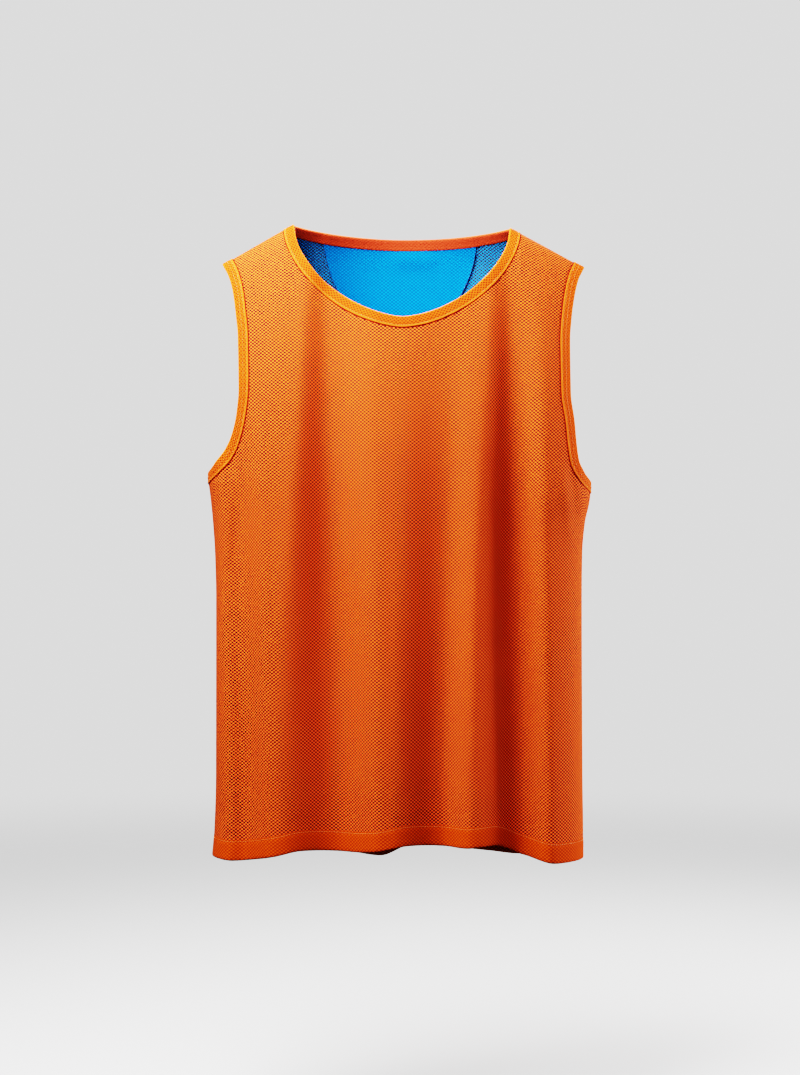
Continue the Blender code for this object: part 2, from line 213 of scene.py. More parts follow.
def crease_rise(x, z, creases):
    """How far the small creases stand out."""
    total = np.zeros(np.broadcast(x, z).shape)
    for crease in creases:
        run_x, run_z = crease.x1 - crease.x0, crease.z1 - crease.z0
        length = math.hypot(run_x, run_z)
        along = ((x - crease.x0) * run_x + (z - crease.z0) * run_z) / length ** 2
        off = ((x - crease.x0) * run_z - (z - crease.z0) * run_x) / length
        ends = smoothstep(along / CREASE_FADE) * smoothstep((1.0 - along) / CREASE_FADE)
        total = total + crease.rise * ends * np.exp(-(off / crease.width) ** 2)
    return total


def surface_y(x, z, face):
    """Outer face of the shell at places seen from the front."""
    reach = np.minimum(np.abs(x) / half_width(x, z), 1.0)
    section = np.sqrt(1.0 - reach ** SECTION_POWER)
    drop = np.clip((ridge_z(x) - z) / FILL_DROP, 0.0, 1.0)
    fill = (1.0 - (1.0 - drop) ** FILL_POWER) ** FILL_ROUND
    neck_x = np.where(x < 0.0, RIGHT.neck_x, LEFT.neck_x)
    nape = face.setback * np.maximum(1.0 - (x / neck_x) ** 2, 0.0)
    bulge = nape * (1.0 - fill) + face.depth * section * fill
    relief = crease_rise(x, z, face.creases) - fold_dip(x, z, face.folds)
    return face.sign * (bulge + relief * (1.0 - reach ** FOLD_SIDE_FADE) + SEAM_GAP / 2)


def column_x(u, z):
    """Where a column stands at a level below the underarms."""
    return half_width(u, z) * mix(u, np.sin(u * math.pi / 2), SIDE_CROWDING)


def underarm_z(u):
    return mix(RIGHT.underarm_z, LEFT.underarm_z, (u + 1) / 2)


def hem_z(u, face):
    return through(HEM, face.hem_column, column_x(u, HEM_TOP_Z))


def top_edge(u, face):
    """The shoulder seams and the neck seam, as x and z."""
    inner = np.clip(u / NECK_U, -1.0, 1.0)
    turn = math.pi * crowded((inner + 1) / 2, NECK_CROWDING)
    across = -np.sign(np.cos(turn)) * np.abs(np.cos(turn)) ** (2 / NECK_CURVE)
    neck_x = mix(RIGHT.neck_x, LEFT.neck_x, (across + 1) / 2)
    sunk = face.neck_drop * np.maximum(np.sin(turn), 0.0) ** (2 / NECK_CURVE)
    beyond = (np.abs(u) - NECK_U) / (1 - NECK_U)
    shoulder_x = np.where(u < 0, mix(RIGHT.neck_x, RIGHT.tip_x, beyond),
                          mix(LEFT.neck_x, LEFT.tip_x, beyond))
    outer = np.abs(u) >= NECK_U
    x = np.where(outer, shoulder_x, neck_x)
    return x, ridge_z(x) - np.where(outer, 0.0, sunk)


def armhole_edge(up, shoulder, column):
    """The armhole's seam between the underarm and the shoulder's tip, as x and z."""
    return through(ARMHOLE, column, up), mix(shoulder.underarm_z, ridge_z(shoulder.tip_x), up)


def yoke_xz(u, up, face):
    """Blend of the four edges between the underarms and the shoulders."""
    t = (u + 1) / 2
    right, left = armhole_edge(up, RIGHT, 1), armhole_edge(up, LEFT, 2)
    right_low, left_low = armhole_edge(0.0, RIGHT, 1), armhole_edge(0.0, LEFT, 2)
    right_top, left_top = armhole_edge(1.0, RIGHT, 1), armhole_edge(1.0, LEFT, 2)
    low = (column_x(u, underarm_z(u)), underarm_z(u))
    top = top_edge(u, face)
    blend = [mix(low[k], top[k], up) + mix(right[k], left[k], t)
             - mix(mix(right_low[k], left_low[k], t), mix(right_top[k], left_top[k], t), up)
             for k in (0, 1)]
    share = np.where(np.abs(u) < NECK_U, (np.abs(u) / NECK_U) ** 3, (1 - np.abs(u)) / (1 - NECK_U))
    swing = NECK_FLARE * share * math.sin(math.pi * math.sqrt(max(1 - up, 0.0)))
    return blend[0] + np.sign(u) * swing, blend[1]


def columns_u():
    """The columns from the wearer's right to the left, -1 to 1."""
    inner = np.linspace(-NECK_U, NECK_U, NECK_COLUMNS + 1)
    steps = np.linspace(0.0, 1.0, SHOULDER_COLUMNS + 1)[1:]
    outer = 1 - (1 - NECK_U) * (1 - steps) ** SHOULDER_POWER
    return np.concatenate((-outer[::-1], inner, outer))


U = columns_u()


def unit(vectors):
    return vectors / np.linalg.norm(vectors, axis=-1, keepdims=True)


def lengths_along(path):
    """Length along an open path at each of its points."""
    steps = np.linalg.norm(np.diff(path, axis=0), axis=1)
    return np.concatenate(([0.0], np.cumsum(steps)))


def outward(grid, face):
    """Outward normals of a grid, square to its edges and level along the seams."""
    across = np.gradient(grid, axis=1)
    upward = np.gradient(grid, axis=0)
    normals = unit(np.cross(across, upward) * -face.sign)
    for edge in ((-1, slice(None)), (slice(None), 0), (slice(None), -1)):
        run = unit(np.gradient(grid[edge], axis=0))
        normals[edge] -= run * np.sum(normals[edge] * run, axis=1, keepdims=True)
    seamed = slice(HEM_ROWS + BODY_ROWS + 1)
    for edge, away in (((-1, np.abs(U) >= NECK_U), (0.0, 0.0, 1.0)),
                       ((seamed, 0), (-1.0, 0.0, 0.0)), ((seamed, -1), (1.0, 0.0, 0.0))):
        line = grid[-1] if edge[0] == -1 else grid[:, edge[1]]
        run = np.gradient(line, axis=0)[edge[1] if edge[0] == -1 else seamed]
        level = np.cross(run, (0.0, 1.0, 0.0))
        normals[edge] = level * np.sign(level @ away)[:, None]
    return unit(normals)


def arc(at, start, z_moves, face):
    """Length of cloth from a start to each place, along x or along z."""
    fixed, moving = at
    steps = np.sin(np.linspace(0.0, math.pi / 2, ARC_STEPS))[:, None]
    run = start + (moving - start) * steps
    y = surface_y(fixed, run, face) if z_moves else surface_y(run, fixed, face)
    length = np.hypot(np.diff(run, axis=0), np.diff(y, axis=0)).sum(axis=0)
    return np.sign(moving - start) * length


def face_grid(face):
    """The outer face's points from the hem up, their normals and their place on the cloth."""
    rows = []
    low, high = hem_z(U, face), underarm_z(U)
    for step in HEM_STEPS:
        rows.append((column_x(U, low + step), low + step))
    for i in range(1, BODY_ROWS + 1):
        z = mix(low + HEM_WIDTH, high, i / BODY_ROWS)
        rows.append((column_x(U, z), z))
    for i in range(1, ARMHOLE_ROWS + 1):
        rows.append(yoke_xz(U, crowded(i / ARMHOLE_ROWS, ROW_CROWDING), face))
    x = np.array([row[0] for row in rows])
    z = np.array([row[1] for row in rows])
    grid = np.stack((x, surface_y(x, z, face), z), axis=-1)
    flat_x, flat_z = x.ravel(), z.ravel()
    place = np.stack((arc((flat_z, flat_x), 0.0, False, face),
                      arc((flat_x, flat_z), KNIT_LEVEL, True, face)), axis=-1)
    return grid, outward(grid, face), place.reshape(x.shape + (2,))


# ---- meshes -------------------------------------------------------------------------------------
CRISP_ANGLE = 50             # edges above this angle stay sharp, in degrees
TAPE_CRISP_ANGLE = 75


def make_piece(name, points, faces, places, material, replaced, crisp=CRISP_ANGLE):
    """One mesh with its place on the cloth as texture coordinates, riding on the root body."""
    mesh = bpy.data.meshes.new(name)
    mesh.from_pydata([tuple(p) for p in points], [], faces)
    layer = mesh.uv_layers.new(name="knit")
    corner = np.zeros(len(mesh.loops), dtype=np.int32)
    mesh.loops.foreach_get("vertex_index", corner)
    layer.uv.foreach_set("vector", np.asarray(places, dtype=np.float32)[corner].ravel())
    mesh.materials.append(material)
    mesh.shade_smooth()
    mesh.set_sharp_from_angle(angle=math.radians(crisp))
    mesh.update()
    piece = bpy.data.objects.new(name, mesh)
    bpy.context.scene.collection.objects.link(piece)
    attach(piece, "root")
    if replaced:
        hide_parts(*replaced)
    return piece


def shell_faces(rows, columns, flip):
    """Faces of a closed sheet whose two skins follow each other in one list of points."""
    index = np.arange(rows * columns).reshape(rows, columns)
    a, b = index[:-1, :-1].ravel(), index[:-1, 1:].ravel()
    c, d = index[1:, 1:].ravel(), index[1:, :-1].ravel()
    count = rows * columns
    outer = np.stack((a, b, c, d), axis=1)
    inner = np.stack((d, c, b, a), axis=1) + count
    rim = np.concatenate((index[0, :-1], index[:-1, -1], index[-1, :0:-1], index[:0:-1, 0]))
    after = np.roll(rim, -1)
    edge = np.stack((after, rim, rim + count, after + count), axis=1)
    faces = np.concatenate((outer, inner, edge))
    return (faces[:, ::-1] if flip else faces).tolist()


def sheet_of(name, grid, normals, places, near, far, face, material, replaced):
    """A closed sheet of cloth between two offsets, each one number or one for every point."""
    skins = []
    for offset in (near, far):
        offset = np.broadcast_to(offset, grid.shape[:2])
        skin = grid + normals * offset[..., None]
        skin[..., 1] = face.sign * np.maximum(face.sign * skin[..., 1], SEAM_GAP / 2)
        skin[..., 2] = np.minimum(skin[..., 2], ridge_z(skin[..., 0]) + offset)
        skins.append(skin)
    points = np.concatenate(skins).reshape(-1, 3)
    uv = np.concatenate((places, places)).reshape(-1, 2)
    faces = shell_faces(grid.shape[0], grid.shape[1], face.sign > 0)
    return make_piece(name, points, faces, uv, material, replaced)


def seam_loop(front, back):
    """One closed run of the front's edge and the back's, met half way at both seams."""
    first, last = (front[0] + back[0]) / 2, (front[-1] + back[-1]) / 2
    return np.concatenate(([first], front[1:-1], [last], back[-2:0:-1]))


EVEN_PASSES = 16             # that even out a seam's normals where two pieces meet


def loop_frame(seam, normals):
    """A closed seam's square normals and the way out of the cloth."""
    tangents = unit(np.roll(seam, -1, axis=0) - np.roll(seam, 1, axis=0))
    for _ in range(EVEN_PASSES):
        normals = (np.roll(normals, 1, axis=0) + 2 * normals + np.roll(normals, -1, axis=0)) / 4
    normals = unit(normals - tangents * np.sum(normals * tangents, axis=1, keepdims=True))
    outs = np.cross(tangents, normals)
    if np.sum(outs * (seam.mean(axis=0) - seam)) < 0:
        outs = -outs
    return normals, outs


MM = 0.001
# Section of a binding from its seam side over the outer face, round the free edge and back inside:
# distance out from the seam and height, in millimetres.
TAPE_OUTSIDE = (
    (-1.9, -0.5), (-1.85, 0.10), (-0.95, 0.16), (-0.85, 0.45), (-0.45, 0.85), (0.1, 1.05),
    (0.8, 0.95), (1.5, 0.62), (2.3, 0.72),
    (3.6, 0.90), (5.2, 0.98), (7.0, 0.95), (8.8, 0.92), (10.2, 1.00), (11.1, 0.86), (11.7, 0.30),
    (11.9, -0.6),
)
TAPE_INSIDE = (
    (11.9, 0.9), (11.6, 0.2), (10.8, -0.10), (8.0, 0.05), (5.0, 0.0), (2.2, 0.08), (0.6, -0.12),
    (-0.4, 0.1), (-0.7, 0.6),
)
TAPE_SECTION = np.array(TAPE_OUTSIDE + TAPE_INSIDE) * MM
TAPE_GIRTH = lengths_along(TAPE_SECTION)


def tape(name, seam, normals, inner, replaced, material):
    """A binding folded over a closed seam; inner is how far in its inner face lies at each ring."""
    normals, outs = loop_frame(seam, normals)
    count, size = len(seam), len(TAPE_SECTION)
    inside = np.arange(size) >= len(TAPE_OUTSIDE)
    heights = TAPE_SECTION[None, :, 1] - np.where(inside[None, :], inner[:, None], 0.0)
    points = (seam[:, None] + outs[:, None] * TAPE_SECTION[None, :, :1]
              + normals[:, None] * heights[..., None])
    rings = np.arange(count * size).reshape(count, size)
    after = np.roll(rings, -1, axis=0)
    turn = np.roll(rings, -1, axis=1)
    both = np.roll(after, -1, axis=1)
    faces = np.stack((rings, after, both, turn), axis=-1).reshape(-1, 4)
    first = np.cross(points[1, 0] - points[0, 0], points[0, 1] - points[0, 0])
    if np.dot(first, outs[0]) > 0:
        faces = faces[:, ::-1]
    places = np.stack(np.broadcast_arrays(lengths_along(seam)[:, None], TAPE_GIRTH[None]), axis=-1)
    return make_piece(name, points.reshape(-1, 3), faces.tolist(), places.reshape(-1, 2), material,
                      replaced, TAPE_CRISP_ANGLE)


# ---- stitches -----------------------------------------------------------------------------------
STITCH_PITCH = 0.0029
STITCH_LENGTH = 0.0023
THREAD_RADIUS = 0.00027
THREAD_LIFT = 0.3 * THREAD_RADIUS        # of a thread's middle above the cloth
STITCH_SIDES = 6
# Rings of one stitch: place along it, thickness and lift, as shares of its half length and radius.
STITCH_RINGS = ((-1.0, 0.35, -0.9), (-0.82, 0.85, -0.25), (-0.35, 1.0, 0.35), (0.35, 1.0, 0.35),
                (0.82, 0.85, -0.25), (1.0, 0.35, -0.9))
THREAD_PLACES = 100          # a thread's texture coordinates are its shares divided by this


def stitch_points(path, normals, closed, pitch):
    """Evenly spaced places along a path with the directions there."""
    if closed:
        path, normals = np.vstack((path, path[:1])), np.vstack((normals, normals[:1]))
    lengths = lengths_along(path)
    count = max(int(lengths[-1] / pitch), 2)
    at = (np.arange(count) + 0.5) * lengths[-1] / count
    ends = [np.stack([np.interp(at + side, lengths, path[:, k]) for k in range(3)], axis=1)
            for side in (-STITCH_LENGTH / 2, STITCH_LENGTH / 2)]
    up = unit(np.stack([np.interp(at, lengths, normals[:, k]) for k in range(3)], axis=1))
    return (ends[0] + ends[1]) / 2, unit(ends[1] - ends[0]), up


def stitches(name, rows, material, pitch=STITCH_PITCH, radius=THREAD_RADIUS):
    """All stitches of some rows as one mesh; a row is (path, normals, closed)."""
    angles = np.arange(STITCH_SIDES) * 2 * math.pi / STITCH_SIDES
    points, faces, places, base = [], [], [], 0
    size = len(STITCH_RINGS) * STITCH_SIDES
    pattern = []
    for low in range(0, size - STITCH_SIDES, STITCH_SIDES):
        for j in range(STITCH_SIDES):
            k = (j + 1) % STITCH_SIDES
            pattern.append((low + j, low + k, low + STITCH_SIDES + k, low + STITCH_SIDES + j))
    pattern += [tuple(reversed(range(STITCH_SIDES))), tuple(range(size - STITCH_SIDES, size))]
    for path, normals, closed in rows:
        middles, along, up = stitch_points(path, normals, closed, pitch)
        side = np.cross(along, up)
        for centre, t, n, s in zip(middles, along, up, side):
            for where, thick, lift in STITCH_RINGS:
                ring_middle = centre + t * where * STITCH_LENGTH / 2 + n * lift * radius
                for angle in angles:
                    points.append(ring_middle + radius * thick
                                  * (math.cos(angle) * s + math.sin(angle) * n))
                    places.append((angle / THREAD_PLACES, where / THREAD_PLACES))
            faces += [tuple(base + v for v in corners) for corners in pattern]
            base += size
    return make_piece(name, points, faces, places, material, ())


# ---- materials ----------------------------------------------------------------------------------
SHEEN_ROUGHNESS = 0.45


class Nodes:
    """Short names for building a material's node tree."""

    def __init__(self, name, roughness, sheen, sheen_tint, specular):
        self.material = bpy.data.materials.new(name)
        self.material.use_nodes = True
        self.tree = self.material.node_tree
        self.shader = self.tree.nodes["Principled BSDF"]
        self.shader.inputs["Roughness"].default_value = roughness
        self.shader.inputs["Specular IOR Level"].default_value = specular
        self.shader.inputs["Sheen Weight"].default_value = sheen
        self.shader.inputs["Sheen Roughness"].default_value = SHEEN_ROUGHNESS
        self.shader.inputs["Sheen Tint"].default_value = sheen_tint

    def add(self, kind, **settings):
        node = self.tree.nodes.new(kind)
        for key, value in settings.items():
            setattr(node, key, value)
        return node

    def feed(self, socket, value):
        if isinstance(value, bpy.types.NodeSocket):
            self.tree.links.new(value, socket)
        else:
            socket.default_value = value

    def math(self, operation, a, b=0.0, c=0.0):
        node = self.add("ShaderNodeMath", operation=operation)
        for socket, value in zip(node.inputs, (a, b, c)):
            self.feed(socket, value)
        return node.outputs[0]

    def ramp(self, value, low, high, to_low=0.0, to_high=1.0):
        node = self.add("ShaderNodeMapRange", interpolation_type="SMOOTHSTEP")
        for socket, given in zip(node.inputs, (value, low, high, to_low, to_high)):
            self.feed(socket, given)
        return node.outputs[0]

    def blend(self, share, a, b):
        node = self.add("ShaderNodeMix", data_type="RGBA")
        self.feed(node.inputs["Factor"], share)
        self.feed(node.inputs[6], a)
        self.feed(node.inputs[7], b)
        return node.outputs[2]

    def noise(self, vector, scale, detail=2.0):
        node = self.add("ShaderNodeTexNoise")
        self.feed(node.inputs["Vector"], vector)
        node.inputs["Scale"].default_value = scale
        node.inputs["Detail"].default_value = detail
        return node.outputs["Fac"]

    def cloth_place(self):
        """Place on the cloth in metres, as a vector and as its two parts."""
        node = self.add("ShaderNodeUVMap", uv_map="knit")
        parts = self.add("ShaderNodeSeparateXYZ")
        self.tree.links.new(node.outputs[0], parts.inputs[0])
        return node.outputs[0], parts.outputs[0], parts.outputs[1]

    def wave(self, value, period, shift=0.0):
        """A wave from -1 to 1 with a crest at 0."""
        return self.math("COSINE", self.math("MULTIPLY_ADD", value, 2 * math.pi / period, shift))

    def band(self, value, start, full, fading, gone):
        """1 between two places, with soft ends."""
        return self.math("MULTIPLY", self.ramp(value, start, full),
                         self.ramp(value, fading, gone, 1.0, 0.0))

    def bump(self, height, distance):
        node = self.add("ShaderNodeBump")
        node.inputs["Strength"].default_value = 1.0
        node.inputs["Distance"].default_value = distance
        self.feed(node.inputs["Height"], height)
        self.tree.links.new(node.outputs[0], self.shader.inputs["Normal"])

    def colour(self, value):
        self.feed(self.shader.inputs["Base Color"], value)
        return self.material


KNIT_PITCH = 0.00465         # between holes of one row
KNIT_RISE = 0.00367          # between rows of one column
KNIT_RELIEF = 0.00013
TAPE_RELIEF = 0.00024
THREAD_RELIEF = 0.00005
HOLE_START, HOLE_FULL = -0.24, 0.10      # of the lattice, where a hole's colour starts and is full
RIBS_A_PITCH = 6
LOOPS_A_RISE = 5
CLOUD_SCALE = 26.0           # slow shades over the cloth
FUZZ_SCALE = 2600.0
TAPE_RIB = 0.0009
TAPE_FUZZ_SCALE = 2200.0
TAPE_CLOUD_SCALE = 40.0
THREAD_TWIST = 0.06
PALE_SHEEN = (1.0, 0.72, 0.55, 1.0)
BLUE_SHEEN = (0.55, 0.85, 1.0, 1.0)


def rgb(r, g, b):
    return (r, g, b, 1.0)


def mesh_knit(name, yarn, deep_yarn, hole, sheen_tint, open_share=1.0, sheen=0.01):
    """Knit with staggered rows of small holes; the yarn runs between them on the bias."""
    n = Nodes(name, roughness=0.88, sheen=sheen, sheen_tint=sheen_tint, specular=0.07)
    place, u, v = n.cloth_place()
    lattice = n.math("MULTIPLY", n.wave(u, KNIT_PITCH), n.wave(v, KNIT_RISE))
    opened = n.ramp(lattice, HOLE_START, HOLE_FULL)
    ribs = n.wave(u, KNIT_PITCH / RIBS_A_PITCH)
    loops = n.wave(v, KNIT_RISE / LOOPS_A_RISE)
    yarns = n.math("MULTIPLY", ribs, loops)
    cloud = n.noise(place, CLOUD_SCALE, 3.0)
    fuzz = n.noise(place, FUZZ_SCALE, 1.0)
    # Painted shade: the yarn is painted darker next to each hole, where it dips in; the slow cloud
    # and the fine fuzz add random tone.
    shade = n.math("ADD", n.ramp(lattice, -0.9, 0.5, 0.0, 0.55), n.math("MULTIPLY", fuzz, 0.35))
    tone_and_hole_shade = n.math("MULTIPLY_ADD", cloud, 0.25, n.math("MULTIPLY", shade, 0.8))
    body = n.blend(tone_and_hole_shade, yarn, deep_yarn)
    height = n.math("SUBTRACT", n.math("MULTIPLY_ADD", yarns, 0.05, n.math("MULTIPLY", fuzz, 0.06)),
                    n.math("MULTIPLY", n.ramp(lattice, -0.35, 0.85), open_share))
    n.bump(height, KNIT_RELIEF)
    return n.colour(n.blend(n.math("MULTIPLY", opened, open_share), body, hole))


def tape_knit(name, yarn, deep_yarn, edge_highlight_yarn, inner_shaded_yarn, seam, dot, sheen_tint):
    """Knit tape: rows of small dots along it, painted highlights on its edges, painted shade on its
    inner face and a painted shadow line at its seam.

    The places across it are lengths round its section, from the seam side on, in metres.
    """
    n = Nodes(name, roughness=0.85, sheen=0.02, sheen_tint=sheen_tint, specular=0.08)
    place, u, v = n.cloth_place()
    lattice = n.math("MULTIPLY", n.wave(u, KNIT_PITCH), n.wave(v, KNIT_RISE, 0.6))
    dots = n.ramp(lattice, 0.0, 0.45)
    flat = n.band(v, 0.0042, 0.0054, 0.0126, 0.0140)
    fuzz = n.noise(place, TAPE_FUZZ_SCALE, 1.0)
    ribs = n.math("MULTIPLY", n.wave(u, TAPE_RIB), 0.5)
    cloud = n.math("MULTIPLY", n.noise(place, TAPE_CLOUD_SCALE), 0.4)
    body = n.blend(n.math("MULTIPLY_ADD", fuzz, 0.4, cloud), yarn, deep_yarn)
    # Painted shade: the binding's inner face is painted a deeper red than its outer face.
    body = n.blend(n.ramp(v, 0.0162, 0.0174), body, inner_shaded_yarn)
    # Painted highlights: the rounded free edge and the raised edge by the seam are painted paler.
    rim = n.band(v, 0.0128, 0.0140, 0.0153, 0.0163)
    ridge_highlight = n.band(v, 0.0018, 0.0025, 0.0034, 0.0042)
    body = n.blend(n.math("MULTIPLY", n.math("ADD", rim, ridge_highlight), 0.8), body, edge_highlight_yarn)
    # Painted shadow: the strip at the seam side is painted dark, for the shadow under the binding's
    # edge.
    body = n.blend(n.ramp(v, 0.0015, 0.0020, 1.0, 0.0), body, seam)
    marked = n.math("MULTIPLY", dots, n.math("MULTIPLY_ADD", flat, 0.62, 0.22))
    height = n.math("SUBTRACT", n.math("MULTIPLY_ADD", fuzz, 0.12, n.math("MULTIPLY", ribs, 0.05)),
                    n.math("MULTIPLY", dots, 0.8))
    n.bump(height, TAPE_RELIEF)
    return n.colour(n.blend(marked, body, dot))


def thread(name, colour, sheen_tint):
    """Twisted sewing thread."""
    n = Nodes(name, roughness=0.45, sheen=0.3, sheen_tint=sheen_tint, specular=0.5)
    _, u, v = n.cloth_place()
    twist = n.wave(n.math("MULTIPLY_ADD", u, 6.0, n.math("MULTIPLY", v, 9.0)), THREAD_TWIST)
    n.bump(twist, THREAD_RELIEF)
    # Painted shade: the thread is painted darker in the low parts of its twist.
    twist_groove_shade = tuple(c * 0.75 for c in colour[:3]) + (1.0,)
    return n.colour(n.blend(n.ramp(twist, -0.6, 0.9), twist_groove_shade, colour))


ORANGE = rgb(0.97, 0.142, 0.017)
ORANGE_DEEP = rgb(0.80, 0.080, 0.012)
ORANGE_HOLE = rgb(0.05, 0.004, 0.008)
# Painted shade: the hem's yarn is painted darker and redder than the panel's, for the shade along
# the bottom.
HEM_YARN_SHADED = rgb(0.66, 0.086, 0.003)
HEM_DEEP_SHADED = rgb(0.52, 0.050, 0.002)
HEM_HOLE = rgb(0.12, 0.006, 0.002)
TAPE = rgb(0.65, 0.085, 0.0049)
TAPE_DEEP = rgb(0.58, 0.056, 0.0039)
# Painted highlight colour for the binding's edges.
TAPE_EDGE_HIGHLIGHT = rgb(0.68, 0.127, 0.0122)
# Painted shade colour for the binding's inner face.
TAPE_INNER_SHADED = rgb(0.45, 0.046, 0.0159)
# Painted shadow colour along the binding's seam.
TAPE_SEAM_SHADOW = rgb(0.16, 0.006, 0.002)
TAPE_DOT = rgb(0.12, 0.005, 0.002)
BLUE = rgb(0.001, 0.225, 0.72)
BLUE_DEEP = rgb(0.000, 0.150, 0.56)
LINING_BLUE = rgb(0.012, 0.250, 0.66)
LINING_DEEP = rgb(0.006, 0.180, 0.54)
BLUE_HOLE = rgb(0.000, 0.035, 0.17)
SEE_THROUGH = rgb(0.030, 0.028, 0.040)
THREAD_ORANGE = rgb(0.78, 0.13, 0.012)
THREAD_BLUE = rgb(0.0, 0.018, 0.075)

orange_mesh = mesh_knit("orange_mesh_knit", ORANGE, ORANGE_DEEP, ORANGE_HOLE, PALE_SHEEN)
hem_mesh = mesh_knit("orange_hem_knit", HEM_YARN_SHADED, HEM_DEEP_SHADED, HEM_HOLE, PALE_SHEEN, open_share=0.7)
blue_mesh = mesh_knit("blue_mesh_knit", LINING_BLUE, LINING_DEEP, SEE_THROUGH, BLUE_SHEEN,
                      sheen=0.03)
blue_patch = mesh_knit("blue_patch_knit", BLUE, BLUE_DEEP, BLUE_HOLE, BLUE_SHEEN, open_share=0.7,
                       sheen=0.05)
orange_tape = tape_knit("orange_tape_knit", TAPE, TAPE_DEEP, TAPE_EDGE_HIGHLIGHT, TAPE_INNER_SHADED,
                        TAPE_SEAM_SHADOW, TAPE_DOT, PALE_SHEEN)
orange_thread = thread("orange_thread", THREAD_ORANGE, PALE_SHEEN)
blue_thread = thread("blue_thread", THREAD_BLUE, BLUE_SHEEN)

# ---- pieces -------------------------------------------------------------------------------------
SHELL_IN = -SHELL_THICK
LINING_OUT = SHELL_IN - LAYER_GAP
LINING_IN = LINING_OUT - LINING_THICK
PATCH_OUT = LINING_IN - PATCH_GAP
PATCH_IN = PATCH_OUT - PATCH_THICK
GROOVE_DEPTH = 0.0006        # side and shoulder seams sink this far
GROOVE_REACH = 0.0022
HEM_MIDDLE = -0.0013         # the turned-up hem is as thick as both layers
HEM_HALF = 0.0017
HEM_ROLL = 0.0017
HEM_STITCH = 0.0206          # height of the hem's stitch line above its edge
HEM_STITCH_REACH = 0.0011    # half width of the line that the stitches press in
HEM_STITCH_SINK = 0.00035
HEM_INSIDE_SINK = 0.0003
HEM_TOP_SINK = 0.00035
PATCH_COLUMNS = 97
PATCH_ROWS = 41
PATCH_KEPT = 0.9995          # share of the half moon's width that is meshed, off its two points
PATCH_EDGE_THICK = 0.0004
PATCH_EDGE_REACH = 0.0016    # the half moon is full as far from its rounded edge
PATCH_STITCH_LIFT = 0.0001
PATCH_STITCH_PITCH = 0.0019
PATCH_THREAD_RADIUS = 0.00034
PATCH_BARE_ENDS = 3          # columns at each of its points that have no stitch
SLOPE_STEP = 0.0004          # over which a slope of the surface is taken
TAPE_DEPTH = 0.0031          # from a binding's seam to its inner face
TAPE_OVER_PATCH = 0.0014     # added where it lies over the half moon
OVER_PATCH_REACH = 0.008     # beyond the half moon's points
OVER_PATCH_FADE = 0.012
TIP_REACH = 0.012            # round the underarm, where an armhole's normals are level
# Stitch rows on a binding: distance out from the seam and height.
LOW_STITCHES = (0.0015, 0.00062 + THREAD_LIFT)
HIGH_STITCHES = (0.0056, 0.00098 + 0.2 * THREAD_RADIUS)


def seam_groove(grid):
    """How far the outer face sinks beside the side seams and the shoulder seams."""
    from_side = [np.linalg.norm(grid - grid[:, [k]], axis=2) for k in (0, -1)]
    groove = sum(np.exp(-(away / GROOVE_REACH) ** 2) for away in from_side)
    shoulder = np.abs(U) >= NECK_U
    above = np.linalg.norm(grid - grid[-1:], axis=2)
    groove = groove + np.where(shoulder[None], np.exp(-(above / GROOVE_REACH) ** 2), 0.0)
    return -GROOVE_DEPTH * np.minimum(groove, 1.0)


def hem_skins():
    """Outer and inner offsets of a hem for each of its rows."""
    steps = np.array(HEM_STEPS)
    roll = np.sqrt(1.0 - (1.0 - np.minimum(steps / HEM_ROLL, 1.0)) ** 2)
    stitched = np.exp(-((steps - HEM_STITCH) / HEM_STITCH_REACH) ** 2)
    top = smoothstep((steps - HEM_STITCH) / (HEM_WIDTH - HEM_STITCH))
    outer = HEM_MIDDLE + HEM_HALF * roll - HEM_STITCH_SINK * stitched - HEM_TOP_SINK * top
    inner = HEM_MIDDLE - HEM_HALF * roll + HEM_INSIDE_SINK * stitched
    return outer[:, None], inner[:, None]


grids = {"front": face_grid(FRONT), "back": face_grid(BACK)}
hem_rows = {}
for title, face in (("front", FRONT), ("back", BACK)):
    grid, out, place = grids[title]
    body, body_out, body_place = grid[HEM_ROWS:], out[HEM_ROWS:], place[HEM_ROWS:]
    sheet_of(
        title + "_shell", body, body_out, body_place, seam_groove(body), SHELL_IN, face,
        orange_mesh, [title + "_panel"])
    sheet_of(
        title + "_inner_layer", body, body_out, body_place, LINING_OUT, LINING_IN, face,
        blue_mesh, [title + "_lining"])
    hem, hem_out, hem_place = grid[:HEM_ROWS + 1], out[:HEM_ROWS + 1], place[:HEM_ROWS + 1]
    outer, inner = hem_skins()
    sheet_of(
        title + "_turned_hem", hem, hem_out, hem_place, outer, inner, face,
        hem_mesh, [title + "_hem"])
    at, up = hem[HEM_STITCH_ROW], hem_out[HEM_STITCH_ROW]
    hem_rows[title] = (at + up * (outer[HEM_STITCH_ROW] + THREAD_LIFT), up, False)


